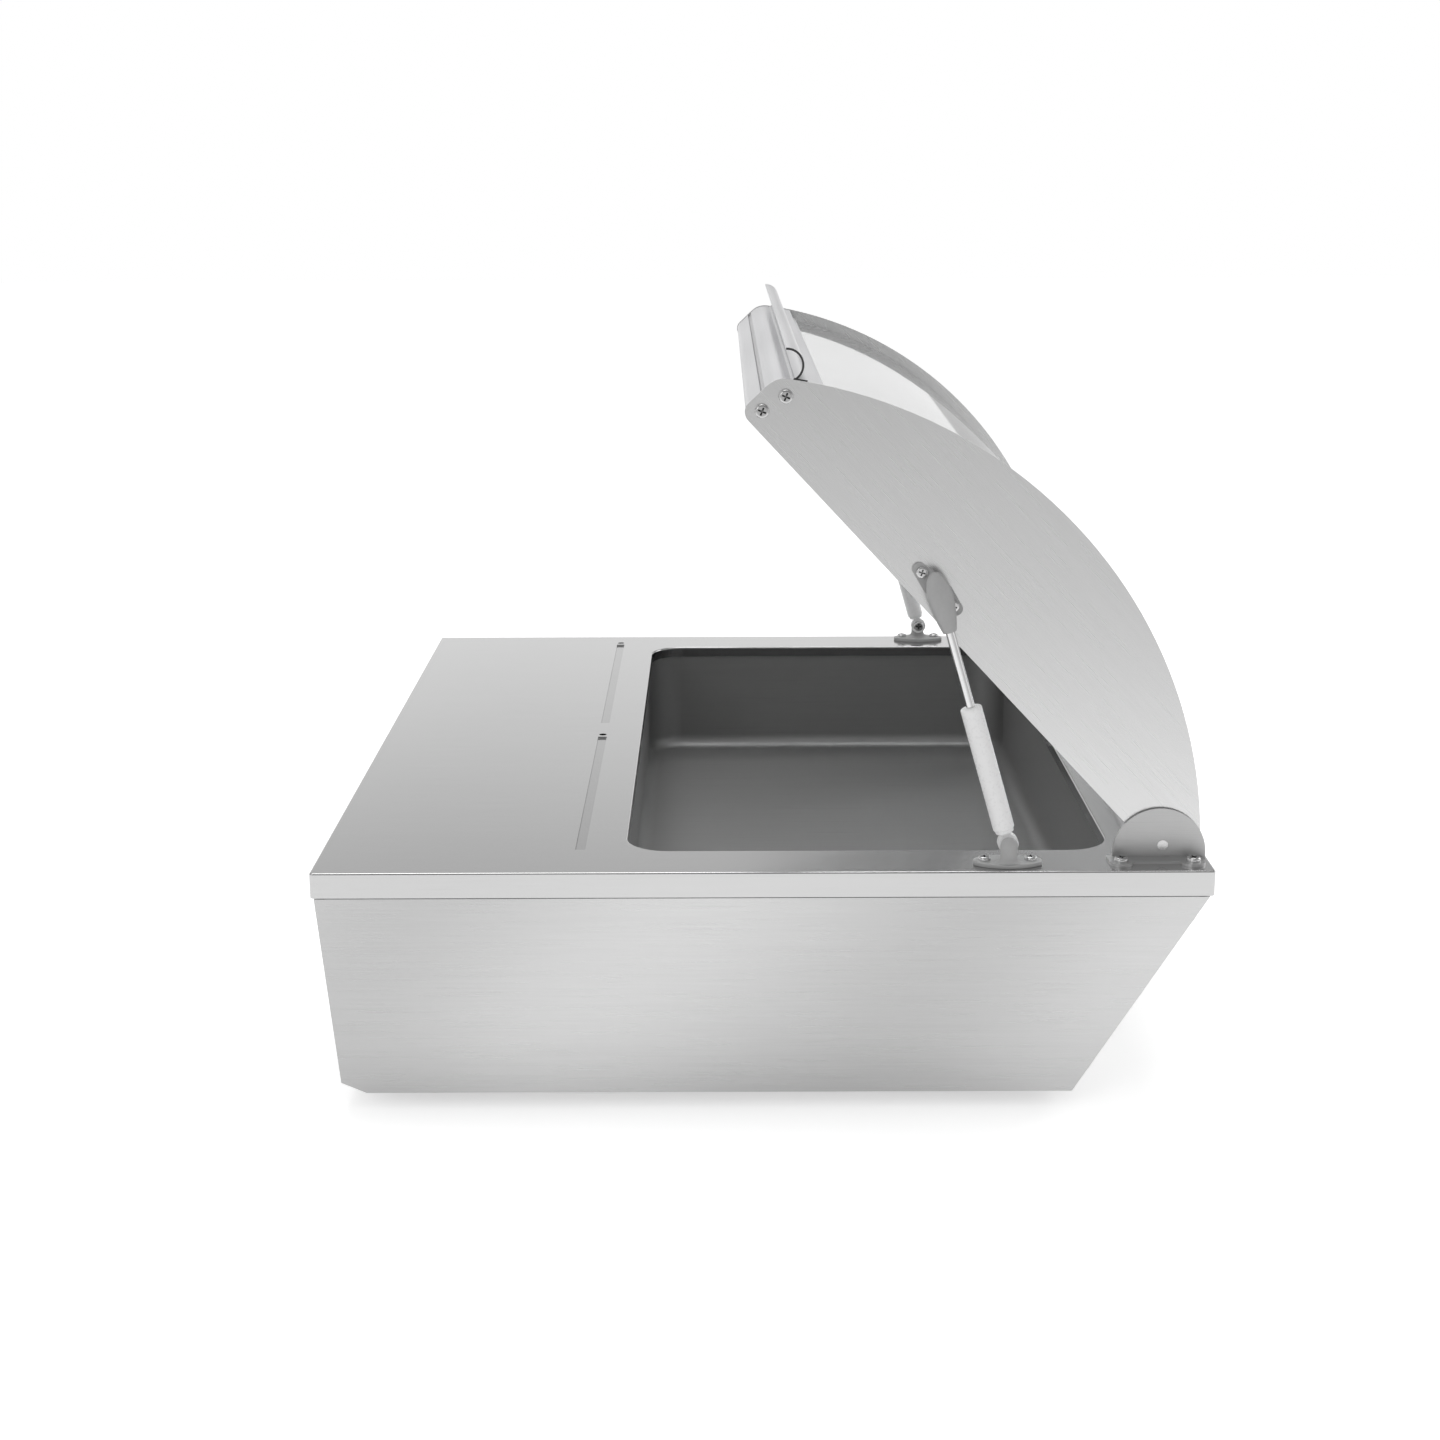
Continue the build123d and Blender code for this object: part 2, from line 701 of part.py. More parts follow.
def lid_rear_bar():
    """Aluminium bar along the hinge line: a barrel, a web and a seat for the window's rear edge."""
    start = window_rear_angle - bar_head_angle
    end = window_rear_angle + bar_head_angle
    head = lid_arc_band(window_outer + seat_wall, window_inner - seat_wall, start, end)
    u, w = lid_arc_point(window_inner, window_rear_angle - 0.4)
    half = web_thickness / 2
    web = make_face(Polyline((-half, 0), (half, 0), (u + half, w), (u - half, w), close=True))
    face = Circle(barrel_radius) + web + head - Circle(barrel_bore)
    face = face - lid_arc_band(window_outer, window_inner, window_rear_angle - 5, window_rear_angle)
    bar = yz_extrude(face, -lid_inner, lid_inner)
    for su, sw in rear_screw_spots():
        for side in (-1, 1):
            hole = x_cylinder(bar_screw_radius, lid_inner - 12.0, lid_inner + 1, su, sw)
            bar = bar - (hole if side > 0 else mirror(hole, about=Plane.YZ))
    return bar


def lid_front_screws():
    """Pan screws through the end panels into the front extrusion's ports."""
    screw = pan_screw(pan_head_radius, pan_head_height, m5_radius, 16.0)
    screw = Rot(0, 90, 0) * Rot(0, 0, 25) * screw
    return on_both_sides([Pos(lid_outer, u, w) * screw for u, w in front_screw_places])


def lid_rear_screws():
    """Countersunk screws through the end panels into the rear bar."""
    return on_both_sides([countersunk(u, w) for u, w in rear_screw_spots()])


def stud_plate():
    """Plate on the lid's end panel with the stud that the strut's upper end presses onto."""
    outer = lid_outer + stud_plate_thickness
    plate = lens(stud_plate_length, stud_plate_width)
    face = Pos(-stud_ahead, stud_above) * plate
    for u, w in stud_screw_spots():
        face = face - Pos(u, w) * Circle(m4_radius)
    body = yz_extrude(face, lid_outer, outer)
    stud_end = strut_x - boot_thickness / 2 - stud_gap
    return body + x_cylinder(4.5, outer - 0.5, stud_end, -stud_ahead, stud_above)


def stud_plate_screws():
    """Low-head screws that hold the strut's upper plates."""
    screw = pan_screw(small_head_radius, small_head_height, m4_radius, 7.0)
    seat = lid_outer + stud_plate_thickness
    screw = Rot(0, 90, 0) * Rot(0, 0, 30) * screw
    return on_both_sides([Pos(seat, u, w) * screw for u, w in stud_screw_spots()])


def lens(length, width):
    """A plate outline with a wide middle and rounded ends."""
    end = width * 0.3
    middle = width / 2
    run = length / 2 - end
    points = [(-run, end), (0, middle * 1.15), (run, end), (run, -end), (0, -middle * 1.15), (-run, -end)]
    face = make_face(Polyline(*points, close=True)) + Pos(-run, 0) * Circle(end) + Pos(run, 0) * Circle(end)
    return face & Rectangle(length, width)


def blunt_lens(length, width):
    """A plate outline bounded by two arcs, with its tips cut off square."""
    end = width * 0.26
    rise = width / 2 - end
    radius = (length * length / 4 + rise * rise) / (2 * rise)
    arc = Pos(0, width / 2 - radius) * Circle(radius) & Pos(0, radius - width / 2) * Circle(radius)
    return arc & Rectangle(length, width)


def strut_foot():
    """Lower bracket of a strut: a plate with two screws and a round post beside the strut's eye."""
    high = top + strut_foot_thickness
    (x, _), _ = strut_screw_spots()
    face = Pos(x, strut_y) * Rot(0, 0, 90) * blunt_lens(strut_foot_length, strut_foot_width)
    plate = extrude(Pos(0, 0, top) * face, amount=strut_foot_thickness)
    for sx, sy in strut_screw_spots():
        plate = plate - z_cylinder(m5_radius + hole_clearance, top - 1, high + 1, sx, sy)
    post_low = strut_x + eye_thickness / 2 + 0.3
    post_high = post_low + post_thickness
    post = x_cylinder(post_radius, post_low, post_high, strut_y, strut_z)
    post = post + slab(post_low, post_high, strut_y - post_radius, strut_y + post_radius, top, strut_z)
    post = fillet(post.faces().sort_by(Axis.X)[-1].edges(), post_edge_radius)
    post = post - x_cylinder(m5_radius, post_low - 1, post_high - 2.0, strut_y, strut_z)
    return plate + post


def strut_pivot_screw():
    """Shoulder screw from the inner side, through the strut's eye into the post."""
    screw = pan_screw(pan_head_radius, low_head_height, m5_radius, eye_thickness + post_thickness - 2.0)
    seat = strut_x - eye_thickness / 2 - 0.2
    return Pos(seat, strut_y, strut_z) * Rot(0, -90, 0) * screw


def strut_eye():
    """Lower end fitting: an eye round the pivot screw and a neck into the tube, drawn along +Z."""
    eye = Rot(0, 90, 0) * Cylinder(eye_radius, eye_thickness)
    half = eye_thickness / 2
    neck = Pos(0, 0, tube_start / 2) * Box(eye_thickness, 1.6 * half, tube_start)
    bulge = Pos(0, 0, tube_start - 1.0) * Cylinder(tube_radius - 1.0, 2.0)
    body = (eye + neck + bulge) & Box(40, 40, 2 * tube_start)
    return body - Rot(0, 90, 0) * Cylinder(m5_radius + running_clearance, 40)


def strut_tube():
    """Pressure tube of the strut, closed at its lower end."""
    length = collar_start - tube_start
    tube = Pos(0, 0, tube_start + length / 2) * Cylinder(tube_radius, length)
    tube = fillet(tube.edges().sort_by(Axis.Z)[0], 1.2)
    bore_low = tube_start + 2.0
    return tube - z_cylinder(tube_radius - tube_wall, bore_low, collar_start + 1, 0, 0)


def strut_collar():
    """Rod guide and seal housing at the tube's upper end."""
    collar = z_cylinder(tube_radius, collar_start, collar_end, 0, 0)
    collar = fillet(collar.edges().sort_by(Axis.Z)[-1], 1.5)
    spigot_low = collar_start - guide_depth
    collar = collar + z_cylinder(tube_radius - tube_wall, spigot_low, collar_start + 0.1, 0, 0)
    return collar - z_cylinder(rod_radius + running_clearance, 0, collar_end + 1, 0, 0)


def piston_high():
    """Height of the piston's upper face along the strut with the lid open."""
    return collar_start - guide_depth - piston_play


def strut_rod():
    """Ground rod from the piston to the upper end fitting."""
    boot_low = strut_open_length + boot_top - boot_length
    return z_cylinder(rod_radius, piston_high() - piston_length, boot_low + 14.0, 0, 0)


def strut_piston():
    """Piston on the lower end of the rod, inside the tube."""
    high = piston_high()
    low = high - piston_length
    piston = z_cylinder(tube_radius - tube_wall - running_clearance, low, high, 0, 0)
    return piston - z_cylinder(rod_radius, low - 1, high + 1, 0, 0)


def strut_boot():
    """Upper end fitting: a teardrop moulding that covers the stud and grips the rod."""
    pivot = strut_open_length
    low = pivot + boot_top - boot_length
    head_top = pivot + boot_top - boot_head_radius
    head = Pos(0, 0, head_top) * Rot(0, 90, 0) * Cylinder(boot_head_radius, boot_thickness)
    half = boot_head_radius
    points = [(-boot_neck_radius, low), (boot_neck_radius, low), (half, head_top - 4), (half, head_top)]
    points += [(-half, head_top), (-half, head_top - 4)]
    web = yz_prism(points, -boot_thickness / 2, boot_thickness / 2)
    cone = Pos(0, 0, low + 9) * Cone(boot_neck_radius, boot_neck_radius + 2.2, 18)
    keep = Pos(0, 0, low + 30) * Box(boot_thickness, 60, 60)
    body = (head + web & keep) & (cone + Pos(0, 0, low + 18 + 20) * Box(60, 60, 40))
    return body - z_cylinder(rod_radius, low - 1, low + 14.0, 0, 0)


def strut_foot_screws():
    """Screws of the strut feet, into the tapped backing plates."""
    screw = pan_screw(pan_head_radius - 0.4, low_head_height, m5_radius, 8.5)
    return on_both_sides([Pos(x, y, top + strut_foot_thickness) * screw for x, y in strut_screw_spots()])


def hinge_bracket_screws():
    """Screws of the hinge brackets, into the tapped backing plates."""
    screw = pan_screw(pan_head_radius, pan_head_height, m5_radius, 7.5)
    screw = Rot(0, 0, 20) * screw
    return on_both_sides([Pos(x, y, top + bracket_sheet) * screw for x, y in hinge_screw_spots()])


def all_nodes():
    """Every piece by name, in its place with the lid open."""
    nodes = {
        "worktop": worktop(),
        "well_tub": well_tub(),
        "tub_insulation": tub_insulation(),
        "front_panel": casing_wrap(0, 1),
        "base_plate": base_plate(),
        "rear_panel": casing_wrap(3, 4),
        "casing_screws": casing_screws(),
        "support_frame": support_frame(),
        "front_rail": front_rail(),
        "foot_screws": foot_screws(),
        "hinge_bracket_screws": hinge_bracket_screws(),
        "strut_foot_screws": strut_foot_screws(),
        "lid_window": lid_place * lid_window(),
        "lid_front_profile": lid_place * lid_front_profile(),
        "lid_grip": lid_place * lid_grip(),
        "lid_rear_bar": lid_place * lid_rear_bar(),
        "lid_front_screws": lid_place * lid_front_screws(),
        "lid_rear_screws": lid_place * lid_rear_screws(),
        "stud_plate_screws": lid_place * stud_plate_screws(),
    }
    for name, (x, y) in foot_spots().items():
        nodes["foot_" + name] = foot(x, y)
    paired = {
        "side_panel": side_panel(),
        "hinge_backing": backing_plate(hinge_screw_spots()),
        "strut_backing": backing_plate(strut_screw_spots()),
        "hinge_bracket": hinge_bracket(),
        "hinge_pin": hinge_pin(),
        "strut_foot": strut_foot(),
        "strut_pivot_screw": strut_pivot_screw(),
        "strut_eye": strut_place * strut_eye(),
        "strut_tube": strut_place * strut_tube(),
        "strut_collar": strut_place * strut_collar(),
        "strut_rod": strut_place * strut_rod(),
        "strut_piston": strut_place * strut_piston(),
        "strut_boot": strut_place * strut_boot(),
        "lid_side": lid_place * lid_side(),
        "window_ledge": lid_place * window_ledge(),
        "hinge_bush": lid_place * hinge_bush(),
        "stud_plate": lid_place * stud_plate(),
    }
    for name, piece in paired.items():
        for side, one in both_sides(piece).items():
            nodes[name + "_" + side] = one
    return nodes


os.makedirs("parts", exist_ok=True)
for node, shape in all_nodes().items():
    export_step(shape, "parts/" + node + ".step")
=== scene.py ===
"""Looks for a countertop food well with a lift-up cover: a sheet steel box, a sunken well and a clear
arched lid on two gas struts. Sizes are in metres."""
import math

import bpy
import numpy as np
from mathutils import Matrix, Vector


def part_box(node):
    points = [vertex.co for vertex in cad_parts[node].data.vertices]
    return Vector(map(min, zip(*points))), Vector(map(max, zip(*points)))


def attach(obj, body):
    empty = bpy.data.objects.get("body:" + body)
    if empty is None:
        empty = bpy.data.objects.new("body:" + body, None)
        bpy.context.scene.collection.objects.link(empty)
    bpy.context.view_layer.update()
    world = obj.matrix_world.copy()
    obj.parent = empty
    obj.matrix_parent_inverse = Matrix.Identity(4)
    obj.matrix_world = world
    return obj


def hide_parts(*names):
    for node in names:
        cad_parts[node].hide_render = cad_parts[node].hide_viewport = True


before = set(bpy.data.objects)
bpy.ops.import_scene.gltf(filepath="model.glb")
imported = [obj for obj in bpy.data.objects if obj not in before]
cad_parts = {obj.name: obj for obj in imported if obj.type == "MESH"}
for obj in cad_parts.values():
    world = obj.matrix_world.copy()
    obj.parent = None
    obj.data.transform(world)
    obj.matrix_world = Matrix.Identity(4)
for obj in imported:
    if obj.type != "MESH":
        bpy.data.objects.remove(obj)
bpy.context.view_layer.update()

# ---------------------------------------------------------------------------------------------------
# Camera: a 54 mm lens 1.7 m out from the middle, off the right side and level with the upper part of
# the raised lid. It is tipped down by 15 degrees, with a hair of yaw and of roll.
# ---------------------------------------------------------------------------------------------------
camera_place = (1.7102, -0.02655, 0.6345)
camera_pitch = 0.259804
camera_yaw = -7.918e-04
camera_roll = -3.444e-03
camera_data = bpy.data.cameras.new("camera")
camera_data.lens = 54.09
camera_data.sensor_width = 36.0
camera_data.sensor_fit = "HORIZONTAL"
camera_data.clip_end = 60.0
camera = bpy.data.objects.new("camera", camera_data)
bpy.context.scene.collection.objects.link(camera)
forward = np.array([-math.cos(camera_yaw), math.sin(camera_yaw), 0.0])
right = np.array([math.sin(camera_yaw), math.cos(camera_yaw), 0.0])
up = np.array([0.0, 0.0, 1.0])
forward, up = (math.cos(camera_pitch) * forward - math.sin(camera_pitch) * up,
               math.sin(camera_pitch) * forward + math.cos(camera_pitch) * up)
right, up = (math.cos(camera_roll) * right + math.sin(camera_roll) * up,
             -math.sin(camera_roll) * right + math.cos(camera_roll) * up)
turn = np.eye(4)
turn[:3, 0], turn[:3, 1], turn[:3, 2], turn[:3, 3] = right, up, -forward, camera_place
camera.matrix_world = Matrix(turn.tolist())
bpy.context.scene.camera = camera

# ---------------------------------------------------------------------------------------------------
# Worktop: one pressing of 1.5 mm stainless sheet with a folded rim, two drain channels and the lip of
# the well. Polished along its depth, so fine scratches run from front to rear and reflect sharply.
# The lip's inner face carries painted shade and a painted reflection of the dark tub; a strip of the
# channels carries painted shade.
# ---------------------------------------------------------------------------------------------------


def add_node(tree, kind, settings=None, **inputs):
    """A shader node with its settings, and each input either linked from a socket or set to a value."""
    made = tree.nodes.new(kind)
    for name, value in (settings or {}).items():
        setattr(made, name, value)
    for name, value in inputs.items():
        numbered = name[-1].isdigit()
        socket = made.inputs[int(name[1:]) if numbered else name.replace("_", " ")]
        if isinstance(value, bpy.types.NodeSocket):
            tree.links.new(value, socket)
        else:
            socket.default_value = value
    return made


def math_node(tree, operation, **inputs):
    """A Math node: its operation, then its operands _0, _1 and _2."""
    return add_node(tree, "ShaderNodeMath", {"operation": operation}, **inputs)


def spread(tree, value, source, target, kind="LINEAR"):
    """A Map Range node: carries the source span onto the target span, and holds its ends outside it."""
    return add_node(tree, "ShaderNodeMapRange", {"interpolation_type": kind}, _0=value,
                    _1=source[0], _2=source[1], _3=target[0], _4=target[1])


def mix_colours(tree, share, first, second):
    """A Mix node between two fixed colours, by share."""
    mixed = add_node(tree, "ShaderNodeMix", {"data_type": "RGBA"}, _0=share)
    mixed.inputs[6].default_value = (*first, 1.0)
    mixed.inputs[7].default_value = (*second, 1.0)
    return mixed


def group_ends(tree, inputs, outputs):
    """Sockets of a node group: floats and vectors in, floats out. Returns its input and output nodes."""
    for name, kind, value in inputs:
        socket = tree.interface.new_socket(name=name, in_out="INPUT", socket_type=kind)
        if value is not None:
            socket.default_value = value
    for name in outputs:
        tree.interface.new_socket(name=name, in_out="OUTPUT", socket_type="NodeSocketFloat")
    return tree.nodes.new("NodeGroupInput"), tree.nodes.new("NodeGroupOutput")


broad_line_width, broad_line_share = 0.13, 0.22
line_spread, scratch_spread = (0.3, 0.7), (0.66, 0.78)
scratch_offset = (3.1, 0.7, 5.3)
# Painted sheen: the direction, spacing and wander of its slanted bands.
band_direction, band_turn = (0.0, 1.0, -0.62), 17.5
band_wander, band_start = 1.6, 3.1
scratch_roughness = 0.1


def brushing_and_sheen_group():
    """Fine lines along the group's Y axis, scratches among them, and painted sheen in slow bands across
    it.

    Streak is noise drawn out along Y; Scratch is the top of a second, finer noise; Drift is painted
    sheen, a sine wave across slanted bands a hand wide, its phase pushed about by slow noise, so that
    bands of reflected light, lighter and darker, are painted into the colour.
    """
    tree = bpy.data.node_groups.new("brushing_and_sheen", "ShaderNodeTree")
    ends, out = group_ends(tree, [
        ("Vector", "NodeSocketVector", None),
        ("Fineness", "NodeSocketFloat", 900.0),
        ("Length", "NodeSocketFloat", 0.02),
        ("Drift Scale", "NodeSocketFloat", 3.0),
    ], ["Streak", "Scratch", "Drift"])
    stretch = add_node(tree, "ShaderNodeCombineXYZ", X=1.0, Y=ends.outputs["Length"], Z=1.0)
    drawn = add_node(tree, "ShaderNodeVectorMath", {"operation": "MULTIPLY"}, _0=ends.outputs["Vector"],
                     _1=stretch.outputs[0])
    fine = add_node(tree, "ShaderNodeTexNoise", {"noise_dimensions": "3D"}, Vector=drawn.outputs[0],
                    Scale=ends.outputs["Fineness"], Detail=3.0, Roughness=0.65)
    broad_scale = math_node(tree, "MULTIPLY", _0=ends.outputs["Fineness"], _1=broad_line_width)
    broad = add_node(tree, "ShaderNodeTexNoise", {"noise_dimensions": "3D"}, Vector=drawn.outputs[0],
                     Scale=broad_scale.outputs[0], Detail=2.0, Roughness=0.5)
    both = add_node(tree, "ShaderNodeMix", {"data_type": "FLOAT"}, _0=broad_line_share,
                    _2=fine.outputs["Fac"], _3=broad.outputs["Fac"])
    streak = spread(tree, both.outputs[0], line_spread, (0.0, 1.0))
    odd = add_node(tree, "ShaderNodeVectorMath", {"operation": "ADD"}, _0=drawn.outputs[0],
                   _1=scratch_offset)
    sparse = add_node(tree, "ShaderNodeTexNoise", {"noise_dimensions": "3D"}, Vector=odd.outputs[0],
                      Scale=ends.outputs["Fineness"], Detail=1.0, Roughness=0.5)
    scratch = spread(tree, sparse.outputs["Fac"], scratch_spread, (0.0, 1.0))
    # Painted sheen: a slow wave across slanted bands, lighter and darker, painted into the colour.
    slant = add_node(tree, "ShaderNodeVectorMath", {"operation": "DOT_PRODUCT"},
                     _0=ends.outputs["Vector"], _1=band_direction)
    wander = add_node(tree, "ShaderNodeTexNoise", Vector=ends.outputs["Vector"],
                      Scale=ends.outputs["Drift Scale"], Detail=0.0)
    phase = math_node(tree, "MULTIPLY_ADD", _0=wander.outputs["Fac"], _1=band_wander, _2=band_start)
    angle = math_node(tree, "MULTIPLY_ADD", _0=slant.outputs["Value"], _1=band_turn,
                      _2=phase.outputs[0])
    wave = math_node(tree, "SINE", _0=angle.outputs[0])
    painted_sheen = spread(tree, wave.outputs[0], (-1.0, 1.0), (0.0, 1.0))
    tree.links.new(streak.outputs[0], out.inputs["Streak"])
    tree.links.new(scratch.outputs[0], out.inputs["Scratch"])
    tree.links.new(painted_sheen.outputs[0], out.inputs["Drift"])
    return tree


brushing_and_sheen = brushing_and_sheen_group()


def brushed_steel(name, tone, shade, smooth, grain_turn=(0.0, 0.0, 0.0), fineness=900.0, length=0.02,
                  drift_scale=3.0, painted_sheen_depth=0.05, streak_depth=0.05, anisotropy=0.5, relief=4e-6,
                  tangent=(0, 1, 0)):
    """Steel whose colour runs from shade to tone with its grain and a painted sheen, a little rougher in
    its scratches.

    The share of tone is the mean of Streak and Drift, weighted by their two depths; Drift is painted
    sheen.
    """
    material = bpy.data.materials.new(name)
    material.use_nodes = True
    tree = material.node_tree
    surface = tree.nodes["Principled BSDF"]
    place = add_node(tree, "ShaderNodeTexCoord")
    turned = add_node(tree, "ShaderNodeMapping", Vector=place.outputs["Object"], Rotation=grain_turn)
    grain = add_node(tree, "ShaderNodeGroup", {"node_tree": brushing_and_sheen}, Vector=turned.outputs[0],
                     Fineness=fineness, Length=length, Drift_Scale=drift_scale)
    weight = math_node(tree, "MULTIPLY", _0=grain.outputs["Streak"], _1=streak_depth)
    # Painted sheen: the slanted Drift bands lighten and darken the colour along with the grain's streaks.
    slow = math_node(tree, "MULTIPLY_ADD", _0=grain.outputs["Drift"], _1=painted_sheen_depth,
                     _2=weight.outputs[0])
    share = math_node(tree, "DIVIDE", _0=slow.outputs[0], _1=max(streak_depth + painted_sheen_depth, 1e-3))
    colour = mix_colours(tree, share.outputs[0], shade, tone)
    rough = spread(tree, grain.outputs["Scratch"], (0.0, 1.0), (smooth, smooth + scratch_roughness))
    bump = add_node(tree, "ShaderNodeBump", Height=grain.outputs["Streak"], Strength=1.0,
                    Distance=relief)
    tree.links.new(colour.outputs[2], surface.inputs["Base Color"])
    tree.links.new(rough.outputs[0], surface.inputs["Roughness"])
    tree.links.new(bump.outputs[0], surface.inputs["Normal"])
    surface.inputs["Metallic"].default_value = 1.0
    surface.inputs["Anisotropic"].default_value = anisotropy
    along = add_node(tree, "ShaderNodeVectorTransform",
                     {"vector_type": "VECTOR", "convert_from": "OBJECT", "convert_to": "WORLD"},
                     Vector=tangent)
    tree.links.new(along.outputs[0], surface.inputs["Tangent"])
    return material


def painted_crevice_shade_group():
    """Painted shade. Open is one on open faces and falls in recesses, grooves and seams: one less Depth
    times the share of the sky that the piece itself hides within Reach."""
    tree = bpy.data.node_groups.new("painted_crevice_shade", "ShaderNodeTree")
    ends, out = group_ends(tree, [("Reach", "NodeSocketFloat", 0.003),
                                  ("Depth", "NodeSocketFloat", 1.0)], ["Open"])
    near = add_node(tree, "ShaderNodeAmbientOcclusion", {"samples": 8, "only_local": True},
                    Distance=ends.outputs["Reach"])
    shut = math_node(tree, "SUBTRACT", _0=1.0, _1=near.outputs["AO"])
    deep = math_node(tree, "MULTIPLY", _0=shut.outputs[0], _1=ends.outputs["Depth"])
    left = add_node(tree, "ShaderNodeMath", {"operation": "SUBTRACT", "use_clamp": True}, _0=1.0,
                    _1=deep.outputs[0])
    tree.links.new(left.outputs[0], out.inputs["Open"])
    return tree


painted_crevice_shade = painted_crevice_shade_group()


def paint_crevice_shade(material, reach, depth):
    """Painted shade: darkens a material's colour in recesses and seams, by how open each place is."""
    tree = material.node_tree
    surface = tree.nodes["Principled BSDF"]
    colour = surface.inputs["Base Color"].links[0].from_socket
    opened = add_node(tree, "ShaderNodeGroup", {"node_tree": painted_crevice_shade}, Reach=reach, Depth=depth)
    shaded = add_node(tree, "ShaderNodeVectorMath", {"operation": "SCALE"}, _0=colour,
                      Scale=opened.outputs[0])
    tree.links.new(shaded.outputs[0], surface.inputs["Base Color"])
    return material


def finish_with(material, *nodes):
    """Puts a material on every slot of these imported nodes."""
    for name in nodes:
        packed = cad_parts[name]
        for place in packed.material_slots:
            place.material = material


soft_side = 2e-4


def keep_within(tree, place, spans):
    """One inside a box of spans along the object's axes and zero outside: the product, over the axes, of
    a ramp that falls from one to zero over the last soft_side before the box's side."""
    axes = add_node(tree, "ShaderNodeSeparateXYZ", Vector=place)
    inside = None
    for axis, low, high in spans:
        middle = math_node(tree, "SUBTRACT", _0=axes.outputs[axis], _1=(low + high) / 2)
        away = math_node(tree, "ABSOLUTE", _0=middle.outputs[0])
        near = spread(tree, away.outputs[0], ((high - low) / 2 - soft_side, (high - low) / 2),
                      (1.0, 0.0))
        if inside is None:
            inside = near.outputs[0]
        else:
            inside = math_node(tree, "MULTIPLY", _0=inside, _1=near.outputs[0]).outputs[0]
    return inside


def paint_shade_within(material, spans, share):
    """Painted shade: multiplies a material's colour by share inside a box."""
    tree = material.node_tree
    surface = tree.nodes["Principled BSDF"]
    colour = surface.inputs["Base Color"].links[0].from_socket
    place = add_node(tree, "ShaderNodeTexCoord")
    inside = keep_within(tree, place.outputs["Object"], spans)
    factor = math_node(tree, "MULTIPLY_ADD", _0=inside, _1=share - 1.0, _2=1.0)
    toned = add_node(tree, "ShaderNodeVectorMath", {"operation": "SCALE"}, _0=colour,
                     Scale=factor.outputs[0])
    tree.links.new(toned.outputs[0], surface.inputs["Base Color"])
    return material


worktop_steel = brushed_steel("polished_worktop_steel", (0.62, 0.62, 0.62), (0.57, 0.57, 0.57), 0.15,
                              anisotropy=0.5)
# Painted shade and painted reflection of the dark tub on the inner face of the well's lip.
lip_box = (("X", -0.3135, 0.3135), ("Y", -0.0975, 0.2425), ("Z", 0.150, 0.1684))
lip_painted_shade = 0.42
paint_shade_within(worktop_steel, lip_box, lip_painted_shade)
# Painted shade: a strip inside the drain channels is a little darker.
channel_box = (("X", -0.34, 0.34), ("Y", -0.1285, -0.1183), ("Z", 0.160, 0.1698))
channel_painted_shade = 0.84
paint_shade_within(worktop_steel, channel_box, channel_painted_shade)
finish_with(worktop_steel, "worktop")

# ---------------------------------------------------------------------------------------------------
# Well: a deep-drawn tub with rounded corners, its flange welded under the worktop's opening. The drawing
# has left its steel duller than the worktop, grey and even.
# ---------------------------------------------------------------------------------------------------
tub_steel = brushed_steel("drawn_tub_steel", (0.35, 0.35, 0.35), (0.32, 0.32, 0.32), 0.50,
                          fineness=500.0, anisotropy=0.0, relief=4e-7)
finish_with(tub_steel, "well_tub")

# ---------------------------------------------------------------------------------------------------
# Casing: folded panels of brushed stainless. The sides carry their grain level, front to rear; the
# front and rear panels carry it level too, from side to side.
# ---------------------------------------------------------------------------------------------------
# The side, front and rear panels carry deep slanted bands of painted sheen.
side_steel = brushed_steel("brushed_casing_steel", (0.645, 0.645, 0.645), (0.49, 0.49, 0.49), 0.27,
                           length=0.012, fineness=1100.0, painted_sheen_depth=0.20, streak_depth=0.06)
cross_steel = brushed_steel("brushed_cross_steel", (0.64, 0.64, 0.64), (0.50, 0.50, 0.50), 0.28,
                            length=0.015, painted_sheen_depth=0.14,
                            grain_turn=(0.0, 0.0, math.pi / 2), tangent=(1, 0, 0))
finish_with(side_steel, "side_panel_left", "side_panel_right")
finish_with(cross_steel, "front_panel", "rear_panel", "base_plate")

# ---------------------------------------------------------------------------------------------------
# Inner frame, rail and backing plates: folded and welded from zinc-coated sheet, under the worktop. The
# coat shows a faint pattern of crystals.
# ---------------------------------------------------------------------------------------------------


def zinc_coat():
    """Grey metal whose crystals are the cells of a Voronoi pattern, each a little lighter or darker."""
    material = bpy.data.materials.new("zinc_coated_sheet")
    material.use_nodes = True
    tree = material.node_tree
    surface = tree.nodes["Principled BSDF"]
    place = add_node(tree, "ShaderNodeTexCoord")
    cells = add_node(tree, "ShaderNodeTexVoronoi", {"feature": "F1"}, Vector=place.outputs["Object"],
                     Scale=110.0)
    grey = add_node(tree, "ShaderNodeSeparateColor", _0=cells.outputs["Color"])
    colour = mix_colours(tree, grey.outputs[0], (0.36, 0.37, 0.38), (0.50, 0.51, 0.52))
    rough = spread(tree, grey.outputs[0], (0.0, 1.0), (0.42, 0.56))
    tree.links.new(colour.outputs[2], surface.inputs["Base Color"])
    tree.links.new(rough.outputs[0], surface.inputs["Roughness"])
    surface.inputs["Metallic"].default_value = 1.0
    return material


finish_with(zinc_coat(), "support_frame", "front_rail", "hinge_backing_left", "hinge_backing_right",
            "strut_backing_left", "strut_backing_right")

# ---------------------------------------------------------------------------------------------------
# Insulation: a jacket of moulded foam round the tub, matt and slightly mottled. Only the tub and the
# casing hold it.
# ---------------------------------------------------------------------------------------------------

roughness_play = 0.06


